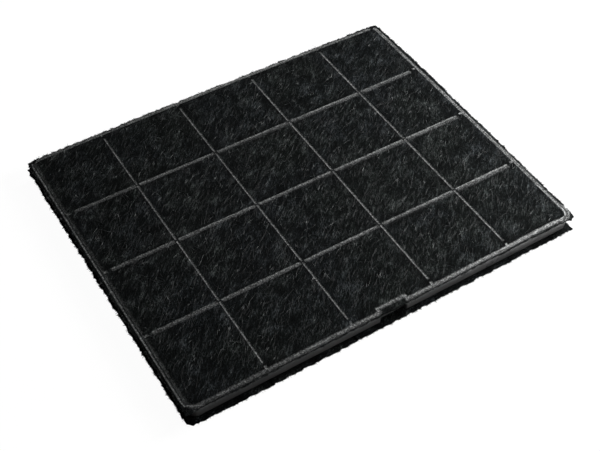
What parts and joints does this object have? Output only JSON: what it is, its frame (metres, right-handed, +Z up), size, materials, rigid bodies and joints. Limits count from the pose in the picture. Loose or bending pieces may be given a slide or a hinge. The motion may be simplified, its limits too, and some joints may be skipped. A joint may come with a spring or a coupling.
{
  "type": "cooker hood carbon filter",
  "caption": "Flat cassette of activated carbon for a cooker hood: a black moulded lattice frame with a latch recess, closed by welded fleece on both faces.",
  "frame": {"origin": "centre of the underside, on the lower fleece's outer face", "axes": "+X along the long side, +Z up through the thickness, -Y towards the latch recess"},
  "size_m": [0.2422, 0.2006, 0.01],
  "materials": {
    "frame_plastic": "satin black, injection moulded",
    "fleece": "black non-woven fleece with a fuzzy face",
    "carbon": "matt black granules"
  },
  "bodies": {
    "root": {"frame": "frame_plastic", "top_fleece": "fleece", "bottom_fleece": "fleece", "carbon_bed_1_1": "carbon", "carbon_bed_1_2": "carbon", "carbon_bed_1_3": "carbon", "carbon_bed_1_4": "carbon", "carbon_bed_1_5": "carbon", "carbon_bed_2_1": "carbon", "carbon_bed_2_2": "carbon", "carbon_bed_2_3": "carbon", "carbon_bed_2_4": "carbon", "carbon_bed_2_5": "carbon", "carbon_bed_3_1": "carbon", "carbon_bed_3_2": "carbon", "carbon_bed_3_3": "carbon", "carbon_bed_3_4": "carbon", "carbon_bed_3_5": "carbon", "carbon_bed_4_1": "carbon", "carbon_bed_4_2": "carbon", "carbon_bed_4_3": "carbon", "carbon_bed_4_4": "carbon", "carbon_bed_4_5": "carbon"}
  },
  "joints": []
}
